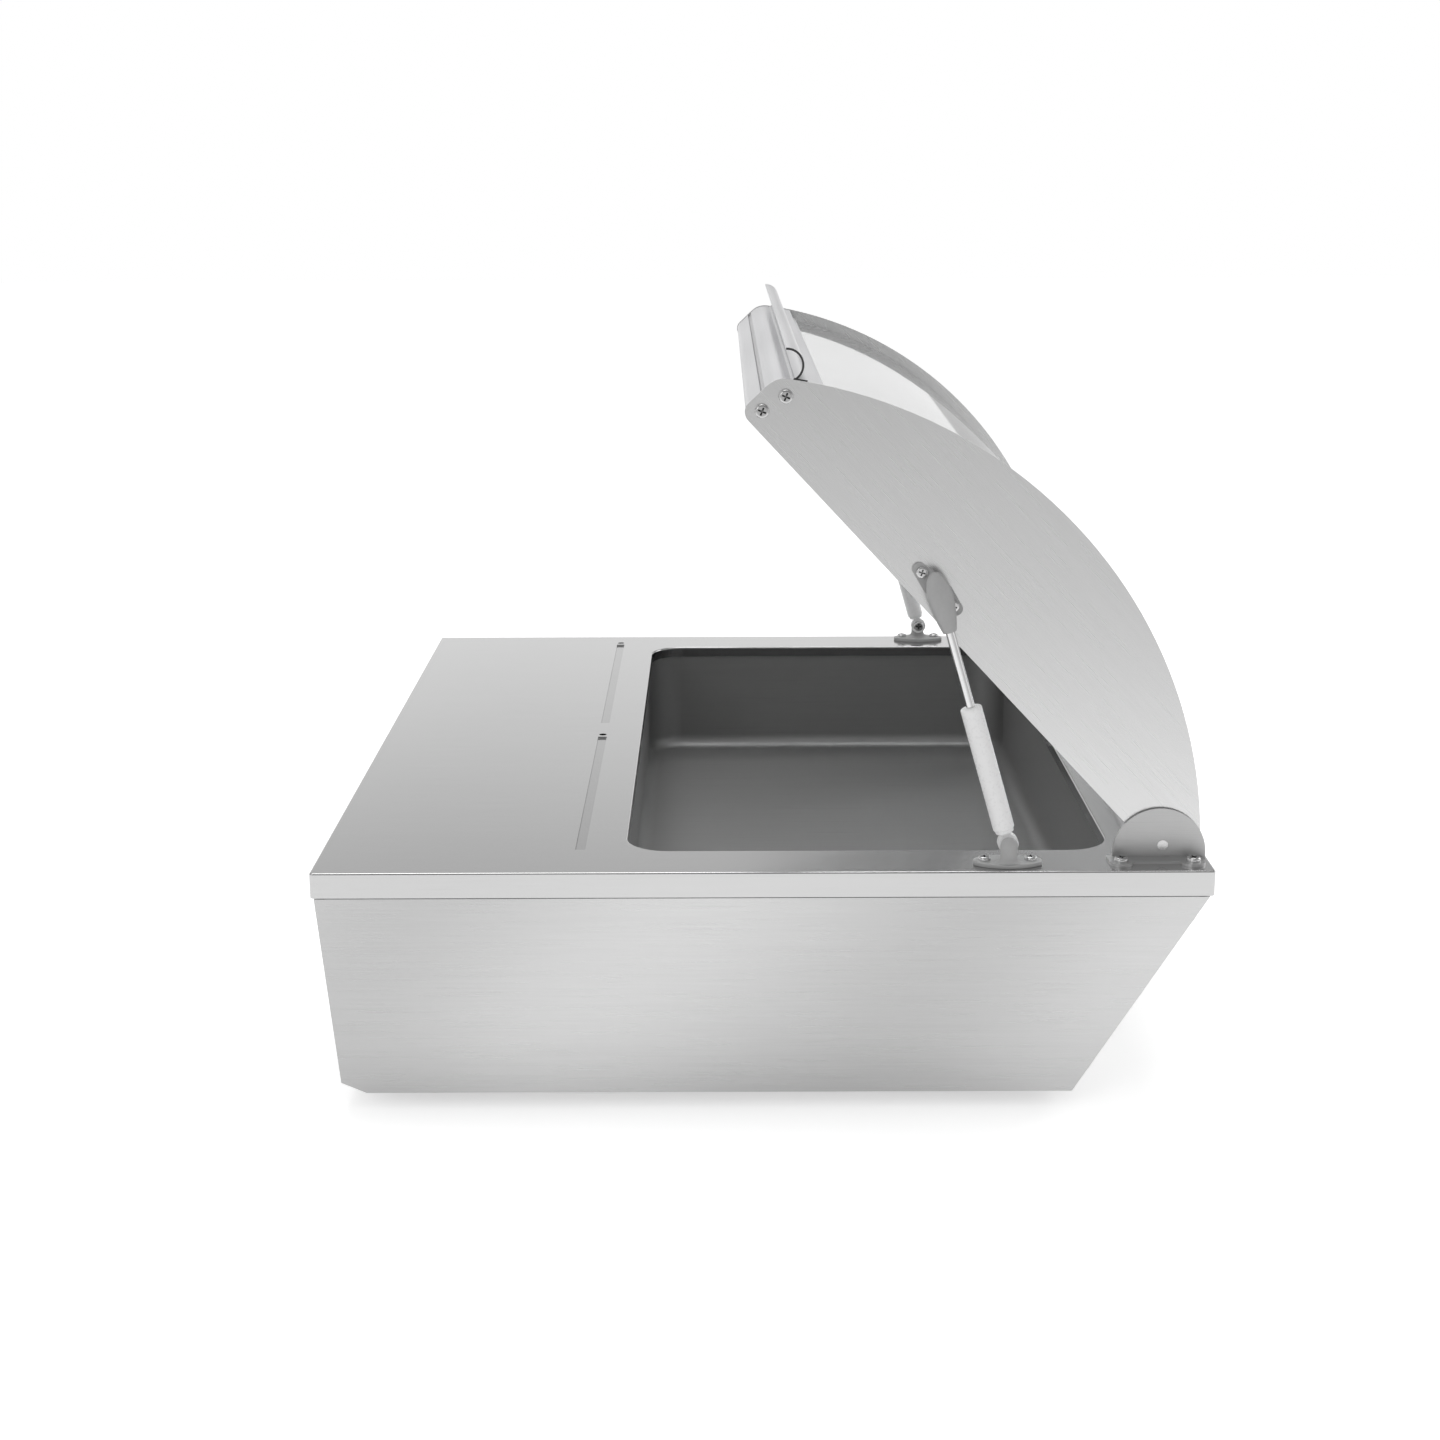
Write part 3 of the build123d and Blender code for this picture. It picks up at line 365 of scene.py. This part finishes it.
def matt_mottle(name, dark, light, scale, roughness, relief):
    """A matt surface whose colour wanders between two tones with a noise, by the noise's value. The same
    noise raises it by up to relief and moves its roughness by a little either way."""
    material = bpy.data.materials.new(name)
    material.use_nodes = True
    tree = material.node_tree
    surface = tree.nodes["Principled BSDF"]
    place = add_node(tree, "ShaderNodeTexCoord")
    noise = add_node(tree, "ShaderNodeTexNoise", Vector=place.outputs["Object"], Scale=scale,
                     Detail=4.0, Roughness=0.6)
    colour = mix_colours(tree, noise.outputs["Fac"], dark, light)
    rough = spread(tree, noise.outputs["Fac"], (0.3, 0.7),
                   (roughness - roughness_play, roughness + roughness_play))
    bump = add_node(tree, "ShaderNodeBump", Height=noise.outputs["Fac"], Strength=1.0, Distance=relief)
    tree.links.new(colour.outputs[2], surface.inputs["Base Color"])
    tree.links.new(rough.outputs[0], surface.inputs["Roughness"])
    tree.links.new(bump.outputs[0], surface.inputs["Normal"])
    return material


finish_with(matt_mottle("foam_insulation", (0.62, 0.58, 0.46), (0.74, 0.70, 0.58), 240.0, 0.9, 2e-4),
            "tub_insulation")

# ---------------------------------------------------------------------------------------------------
# Feet: four tapered blocks of moulded rubber, near black with a dull bloom, each screwed up into the
# base plate.
# ---------------------------------------------------------------------------------------------------
finish_with(matt_mottle("foot_rubber", (0.018, 0.018, 0.019), (0.035, 0.035, 0.036), 160.0, 0.72, 3e-5),
            "foot_front_left", "foot_front_right", "foot_rear_left", "foot_rear_right")

# ---------------------------------------------------------------------------------------------------
# Screws and hinge pins: bright stainless steel. The screws have a cross recess pressed into the head,
# which is darkened with painted shade; the pins are plain turned rod, fixed in the hinge brackets, and
# carry the lid.
# ---------------------------------------------------------------------------------------------------
screw_steel = brushed_steel("bright_screw_steel", (0.72, 0.72, 0.72), (0.58, 0.58, 0.58), 0.20,
                            fineness=2500.0, length=0.5, drift_scale=60.0, anisotropy=0.0,
                            relief=1e-6)
# Painted shade in the cross recesses and other hollows of the screws and pins.
paint_crevice_shade(screw_steel, 0.0025, 1.5)
finish_with(screw_steel, "casing_screws", "foot_screws", "hinge_bracket_screws", "strut_foot_screws",
            "lid_front_screws", "lid_rear_screws", "stud_plate_screws", "strut_pivot_screw_left",
            "strut_pivot_screw_right", "hinge_pin_left", "hinge_pin_right")

# ---------------------------------------------------------------------------------------------------
# Hinge brackets: steel sheet pressed to a disc that stands on a flange, tumbled to an even satin with no
# grain. Each is screwed down to a tapped plate under the worktop.
# ---------------------------------------------------------------------------------------------------
bracket_steel = brushed_steel("satin_bracket_steel", (0.60, 0.60, 0.60), (0.52, 0.52, 0.52), 0.46,
                              fineness=1400.0, anisotropy=0.0, relief=1e-6)
finish_with(bracket_steel, "hinge_bracket_left", "hinge_bracket_right")

# ---------------------------------------------------------------------------------------------------
# Lid sides: flat blanks of stainless sheet cut to the lid's arc, screwed to the ends of the two rails.
# They are brushed along the lid's length, so the grain is tipped up with the open lid.
# ---------------------------------------------------------------------------------------------------
lid_open = math.radians(46.9)
lid_steel = brushed_steel("brushed_lid_steel", (0.745, 0.745, 0.745), (0.68, 0.68, 0.68), 0.27,
                          grain_turn=(lid_open, 0.0, 0.0),
                          tangent=(0, math.cos(lid_open), -math.sin(lid_open)))
finish_with(lid_steel, "lid_side_left", "lid_side_right")

# ---------------------------------------------------------------------------------------------------
# Lid rails, finger grip and window ledges: aluminium extrusions, satin anodised, with draw lines along
# the lid's width and painted shade in their grooves and seams. The grip's ends are darkened nearly to
# black with painted shade.
# ---------------------------------------------------------------------------------------------------
rail_aluminium = brushed_steel("satin_anodised_aluminium", (0.74, 0.74, 0.75), (0.66, 0.66, 0.67), 0.34,
                               grain_turn=(0.0, 0.0, math.pi / 2), length=0.008, anisotropy=0.4,
                               tangent=(1, 0, 0))
# Painted shade in the extrusions' grooves and seams.
paint_crevice_shade(rail_aluminium, 0.005, 1.0)
grip_low, grip_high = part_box("lid_grip")
grip_aluminium = rail_aluminium.copy()
grip_aluminium.name = "grip_aluminium_painted_shade_ends"
cut_depth = 4e-4
grip_end_painted_shade = 0.12
# Painted shade: a thin band at each end of the grip is darkened nearly to black.
for cut in (grip_low.x, grip_high.x):
    paint_shade_within(grip_aluminium, (("X", cut - cut_depth, cut + cut_depth),), grip_end_painted_shade)
finish_with(grip_aluminium, "lid_grip")
finish_with(rail_aluminium, "lid_front_profile", "lid_rear_bar", "window_ledge_left",
            "window_ledge_right")

# ---------------------------------------------------------------------------------------------------
# Window: a sheet of 3 mm clear acrylic, bent to the lid's arc and bonded to the ledges on the lid's
# sides. It is faintly marked by wiping.
# ---------------------------------------------------------------------------------------------------


def clear_sheet():
    """Clear plastic, faintly wiped: roughness follows a slow noise. Lamps shine straight through it."""
    material = bpy.data.materials.new("clear_acrylic")
    material.use_nodes = True
    tree = material.node_tree
    surface = tree.nodes["Principled BSDF"]
    output = tree.nodes["Material Output"]
    place = add_node(tree, "ShaderNodeTexCoord")
    wiped = add_node(tree, "ShaderNodeTexNoise", Vector=place.outputs["Object"], Scale=14.0, Detail=3.0,
                     Roughness=0.6)
    rough = spread(tree, wiped.outputs["Fac"], (0.3, 0.7), (0.015, 0.05))
    tree.links.new(rough.outputs[0], surface.inputs["Roughness"])
    surface.inputs["Base Color"].default_value = (0.97, 0.98, 0.98, 1.0)
    surface.inputs["Transmission Weight"].default_value = 1.0
    surface.inputs["IOR"].default_value = 1.49
    path = add_node(tree, "ShaderNodeLightPath")
    through = add_node(tree, "ShaderNodeBsdfTransparent", Color=(0.93, 0.94, 0.94, 1.0))
    mixed = add_node(tree, "ShaderNodeMixShader", _0=path.outputs["Is Shadow Ray"],
                     _1=surface.outputs[0], _2=through.outputs[0])
    tree.links.new(mixed.outputs[0], output.inputs["Surface"])
    return material


finish_with(clear_sheet(), "lid_window")

# ---------------------------------------------------------------------------------------------------
# Hinge bushes and strut pistons: turned white nylon. The bushes line the lid's pivot holes, and the
# pistons run inside the strut tubes.
# ---------------------------------------------------------------------------------------------------
finish_with(matt_mottle("white_nylon", (0.72, 0.71, 0.68), (0.80, 0.79, 0.77), 300.0, 0.45, 1e-5),
            "hinge_bush_left", "hinge_bush_right", "strut_piston_left", "strut_piston_right")

# ---------------------------------------------------------------------------------------------------
# Gas struts: steel tubes with their collars and end eyes painted pale grey, ground rods plated with
# chrome, and fittings and stud plates moulded in grey plastic.
# ---------------------------------------------------------------------------------------------------
tube_paint = matt_mottle("strut_tube_paint", (0.86, 0.86, 0.86), (0.89, 0.89, 0.89), 500.0, 0.30, 2e-6)
finish_with(tube_paint, "strut_tube_left", "strut_tube_right", "strut_collar_left", "strut_collar_right",
            "strut_eye_left", "strut_eye_right")
rod_chrome = brushed_steel("rod_chrome", (0.78, 0.78, 0.78), (0.70, 0.70, 0.70), 0.08, fineness=2000.0,
                           anisotropy=0.0, relief=5e-7)
finish_with(rod_chrome, "strut_rod_left", "strut_rod_right")
fitting_grey = matt_mottle("grey_fitting_plastic", (0.37, 0.37, 0.37), (0.42, 0.42, 0.42),
                           400.0, 0.34, 1.5e-5)
# Painted shade in the fittings' hollows and seams.
paint_crevice_shade(fitting_grey, 0.004, 0.8)
finish_with(fitting_grey, "strut_boot_left", "strut_boot_right", "strut_foot_left", "strut_foot_right",
            "stud_plate_left", "stud_plate_right")

# ---------------------------------------------------------------------------------------------------
# Strut boots: soft mouldings shaped like a spindle, pressed over the lid's stud and onto the rod. Each
# has a faint moulding line down its sides.
# ---------------------------------------------------------------------------------------------------
strut_plane = 0.3375
stud_y, stud_z = 0.11428, 0.35465
strut_lean = math.radians(16.259)
boot_above_stud = 0.0137
boot_length = 0.041
boot_half_width = 0.0083
boot_half_thickness = 0.00595
boot_neck = 0.0045
boot_widest = 0.017
boot_mouth = 0.0031
boot_bore_depth = 0.004
boot_lip = 0.93
boot_taper_power = 1.8
boot_points_round = 72
seam_height, seam_width = 0.014, 0.06


def closed_rings(name, rings):
    """A closed mesh from rings of points: quads from ring to ring, and a fan of triangles from the
    middle of the first ring and of the last."""
    count = rings.shape[1]
    points = np.concatenate([rings[:1].mean(axis=1), rings.reshape(-1, 3), rings[-1:].mean(axis=1)])
    step = np.arange(count)
    after = (step + 1) % count
    walls = [np.stack([1 + r * count + step, 1 + r * count + after, 1 + (r + 1) * count + after,
                       1 + (r + 1) * count + step], axis=1) for r in range(rings.shape[0] - 1)]
    last = 1 + (rings.shape[0] - 1) * count
    start_cap = np.stack([np.zeros(count, int), 1 + after, 1 + step], axis=1)
    end_cap = np.stack([np.full(count, len(points) - 1), last + step, last + after], axis=1)
    faces = [f.tolist() for f in (start_cap, *walls, end_cap)]
    mesh = bpy.data.meshes.new(name)
    mesh.from_pydata(points.tolist(), [], [face for part in faces for face in part])
    mesh.polygons.foreach_set("use_smooth", np.ones(len(mesh.polygons), bool))
    mesh.update()
    piece = bpy.data.objects.new(name, mesh)
    bpy.context.scene.collection.objects.link(piece)
    return piece


def boot_rings(side):
    """Rings down the boot. Each is an ellipse, its half-width raised at the two sides by a narrow bell for
    the moulding line. Down to the widest place the half-width follows a quarter of an ellipse; below it,
    it is the neck's plus a rest that shrinks by one minus a power of the depth. The last rings turn in to
    the mouth and a little way up the bore.
    """
    depth = np.concatenate([boot_widest * (1 - np.cos(np.linspace(0.06, 1, 26) * math.pi / 2)),
                            np.linspace(boot_widest, boot_length, 40)[1:]])
    above = np.sqrt(np.clip(1 - ((boot_widest - depth) / boot_widest) ** 2, 0, 1))
    below = 1 - np.clip((depth - boot_widest) / (boot_length - boot_widest), 0, 1) ** boot_taper_power
    wide = np.where(depth < boot_widest, boot_half_width * above,
                    boot_neck + (boot_half_width - boot_neck) * below)
    thick = np.where(depth < boot_widest, boot_half_thickness * above,
                     np.minimum(wide, boot_neck + (boot_half_thickness - boot_neck) * below))
    mouth_radii = [boot_neck * boot_lip, boot_mouth, boot_mouth]
    depth = np.concatenate([depth, [boot_length, boot_length, boot_length - boot_bore_depth]])
    wide = np.concatenate([wide, mouth_radii])
    thick = np.concatenate([thick, mouth_radii])
    angle = np.linspace(0, 2 * math.pi, boot_points_round, endpoint=False)
    seam = 1 + seam_height * np.exp(-(np.sin(angle) / seam_width) ** 2)
    across = wide[:, None] * np.cos(angle) * seam
    out = thick[:, None] * np.sin(angle)
    along = np.repeat((boot_above_stud - depth)[:, None], angle.size, axis=1)
    lean_y, lean_z = math.sin(strut_lean), math.cos(strut_lean)
    return np.stack([side * (strut_plane + out), stud_y - lean_y * along + lean_z * across * side,
                     stud_z + lean_z * along + lean_y * across * side], axis=-1)


for side, name in ((1, "right"), (-1, "left")):
    boot = closed_rings("boot_" + name, boot_rings(side))
    boot.data.materials.append(fitting_grey)
    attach(boot, "rod_" + name)
    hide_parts("strut_boot_" + name)

# ---------------------------------------------------------------------------------------------------
# Strut feet: cast plates, boat-shaped with a soft edge, from which a post rises beside the strut's eye
# and ends in a dome. Two screws hold each to the worktop.
# ---------------------------------------------------------------------------------------------------
foot_half_length = 0.023
foot_half_width = 0.011
foot_tip_half = 0.00572
foot_plate = 0.003
post_half_width = 0.0058
post_half_depth = 0.00325
post_pivot_height = 0.0145
post_plane = 0.34455
foot_points_round = 96
plate_underside_share = 0.985
plate_edge_drop, plate_edge_height, plate_edge_share = 0.0004, 0.0009, 0.035
fillet_height, fillet_spread = 0.0042, 0.75
dome_flat = 2e-5


def foot_rings(side):
    """Rings from the underside out and up. The plate's half-width is the middle one less the sagitta of
    the arc that passes through its two tips. The post's rings are ellipses, wider in the fillet by the
    square of the share of it left above, and closed over the pivot by the cosine of a rising angle.
    """
    low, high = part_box("strut_foot_" + ("right" if side > 0 else "left"))
    middle_x, middle_y, base = (low.x + high.x) / 2, (low.y + high.y) / 2, low.z
    angle = np.linspace(0, 2 * math.pi, foot_points_round, endpoint=False)
    rise = foot_half_width - foot_tip_half
    radius = (foot_half_length ** 2 + rise ** 2) / (2 * rise)
    plate_y = foot_half_length * np.sign(np.cos(angle)) * np.abs(np.cos(angle)) ** 0.7
    half = foot_half_width - (radius - np.sqrt(radius ** 2 - plate_y ** 2))
    plate_x = half * np.sign(np.sin(angle)) * np.abs(np.sin(angle)) ** 0.45
    plate = np.stack([middle_x + plate_x * side, middle_y + plate_y, np.zeros_like(angle)], axis=-1)
    post = np.stack([side * (post_plane + post_half_depth * np.sin(angle)),
                     middle_y + post_half_width * np.cos(angle),
                     np.zeros_like(angle)], axis=-1)
    middle = np.array([middle_x, middle_y, 0.0])
    post_middle = np.array([side * post_plane, middle_y, 0.0])
    rings = [middle + (plate - middle) * plate_underside_share, plate]
    heights = [0.0, plate_edge_drop]
    for turn_in in np.linspace(0, math.pi / 2, 6):
        rings.append(middle + (plate - middle) * (1 - plate_edge_share * (1 - math.cos(turn_in))))
        heights.append(foot_plate - plate_edge_height + plate_edge_height * math.sin(turn_in))
    for t in np.linspace(0, 1, 10):
        flare = 1 + fillet_spread * (1 - t) ** 2
        rings.append(post_middle + (post - post_middle) * np.array([flare, flare, 1]))
        heights.append(foot_plate + fillet_height * t ** 1.6)
    rings.append(post)
    heights.append(post_pivot_height)
    for lift in np.linspace(0.1, 1.5, 12):
        rings.append(post_middle + (post - post_middle) * math.cos(lift))
        heights.append(post_pivot_height + (post_half_width - dome_flat) * math.sin(lift))
    stack = np.array(rings)
    stack[:, :, 2] = base + np.array(heights)[:, None]
    return stack


for side, name in ((1, "right"), (-1, "left")):
    strut_foot = closed_rings("strut_foot_cast_" + name, foot_rings(side))
    strut_foot.data.materials.append(fitting_grey)
    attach(strut_foot, "base")
    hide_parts("strut_foot_" + name)

# ---------------------------------------------------------------------------------------------------
# Stage: one pale floor that runs under and far behind the object, a white studio round it and three soft
# lamps. What is reflected in the steel is darker overhead and behind the camera than at the horizon.
# ---------------------------------------------------------------------------------------------------
floor_half = 9.0
floor_lift = 0.45
floor_near, floor_far, floor_reflected = 0.9, 2.6, 0.24
floor_corners = [(-floor_half, -floor_half, 0.0), (floor_half, -floor_half, 0.0),
                 (floor_half, floor_half, 0.0), (-floor_half, floor_half, 0.0)]
floor_mesh = bpy.data.meshes.new("floor")
floor_mesh.from_pydata(floor_corners, [], [(0, 1, 2, 3)])
floor = bpy.data.objects.new("floor", floor_mesh)
bpy.context.scene.collection.objects.link(floor)


def pale_floor():
    """White paper: matt, with a little light of its own for what looks at it, so that it fades to white.

    Seen directly or through the window it glows by floor_lift; in reflections the glow falls smoothly
    from floor_reflected to nothing between the near and the far distance from the middle.
    """
    material = bpy.data.materials.new("pale_floor")
    material.use_nodes = True
    tree = material.node_tree
    surface = tree.nodes["Principled BSDF"]
    surface.inputs["Base Color"].default_value = (0.88, 0.88, 0.88, 1.0)
    surface.inputs["Roughness"].default_value = 0.9
    surface.inputs["Specular IOR Level"].default_value = 0.0
    path = add_node(tree, "ShaderNodeLightPath")
    place = add_node(tree, "ShaderNodeTexCoord")
    reach = add_node(tree, "ShaderNodeVectorMath", {"operation": "LENGTH"}, _0=place.outputs["Object"])
    fading = spread(tree, reach.outputs["Value"], (floor_near, floor_far), (floor_reflected, 0.0),
                    "SMOOTHSTEP")
    mirrored = math_node(tree, "MULTIPLY", _0=path.outputs["Is Glossy Ray"], _1=fading.outputs[0])
    direct = math_node(tree, "MAXIMUM", _0=path.outputs["Is Camera Ray"],
                      _1=path.outputs["Is Transmission Ray"])
    lift = math_node(tree, "MULTIPLY_ADD", _0=direct.outputs[0], _1=floor_lift, _2=mirrored.outputs[0])
    surface.inputs["Emission Color"].default_value = (1.0, 1.0, 1.0, 1.0)
    tree.links.new(lift.outputs[0], surface.inputs["Emission Strength"])
    return material


floor_mesh.materials.append(pale_floor())

reflected_horizon, reflected_overhead = (0.17, 0.40), 0.48
card_lower_edge, card_near_edge, card_dimming = (0.295, 0.305), (0.018, 0.032), 0.4
behind_reach, behind_tone = (0.0, 0.8), 0.5
ambient_strength = 0.64
world = bpy.data.worlds.new("studio")
bpy.context.scene.world = world
world.use_nodes = True
tree = world.node_tree
sky = tree.nodes["Background"]
path = add_node(tree, "ShaderNodeLightPath")
direction = add_node(tree, "ShaderNodeTexCoord")
axes = add_node(tree, "ShaderNodeSeparateXYZ", Vector=direction.outputs["Generated"])
overhead = spread(tree, axes.outputs["Z"], reflected_horizon, (1.0, reflected_overhead), "SMOOTHSTEP")
card_foot = spread(tree, axes.outputs["Z"], card_lower_edge, (0.0, 1.0), "SMOOTHSTEP")
card_edge = spread(tree, axes.outputs["Y"], card_near_edge, (0.0, 1.0), "SMOOTHSTEP")
card_side = math_node(tree, "LESS_THAN", _0=axes.outputs["X"], _1=0.0)
card_corner = math_node(tree, "MULTIPLY", _0=card_foot.outputs[0], _1=card_edge.outputs[0])
card = math_node(tree, "MULTIPLY", _0=card_corner.outputs[0], _1=card_side.outputs[0])
card_tone = math_node(tree, "MULTIPLY_ADD", _0=card.outputs[0], _1=-card_dimming, _2=1.0)
behind_camera = spread(tree, axes.outputs["X"], behind_reach, (1.0, behind_tone), "SMOOTHSTEP")
with_card = math_node(tree, "MULTIPLY", _0=overhead.outputs[0], _1=card_tone.outputs[0])
reflected = math_node(tree, "MULTIPLY", _0=with_card.outputs[0], _1=behind_camera.outputs[0])
seen = math_node(tree, "MAXIMUM", _0=path.outputs["Is Glossy Ray"],
                 _1=path.outputs["Is Transmission Ray"])
ambient = add_node(tree, "ShaderNodeMix", {"data_type": "FLOAT"}, _0=seen.outputs[0],
                   _2=ambient_strength,
                   _3=reflected.outputs[0])
strength = add_node(tree, "ShaderNodeMix", {"data_type": "FLOAT"}, _0=path.outputs["Is Camera Ray"],
                    _2=ambient.outputs[0], _3=1.0)
sky.inputs["Color"].default_value = (1.0, 1.0, 1.0, 1.0)
tree.links.new(strength.outputs[0], sky.inputs["Strength"])


def soft_lamp(name, place, aim, size, power):
    """A square lamp that faces a point."""
    data = bpy.data.lights.new(name, "AREA")
    data.shape = "SQUARE"
    data.size = size
    data.energy = power
    lamp = bpy.data.objects.new(name, data)
    bpy.context.scene.collection.objects.link(lamp)
    lamp.location = place
    lamp.rotation_euler = (Vector(aim) - Vector(place)).to_track_quat("-Z", "Y").to_euler()
    return lamp


soft_lamp("overhead_lamp", (-0.5, -0.1, 2.6), (0.0, 0.0, 0.1), 1.8, 30.0)
soft_lamp("near_lamp", (2.4, -1.6, 1.6), (0.0, 0.0, 0.15), 1.2, 8.0)
soft_lamp("rear_lamp", (-1.2, 2.4, 1.5), (0.0, 0.0, 0.15), 1.2, 10.0)

bpy.context.scene.view_settings.view_transform = "Standard"
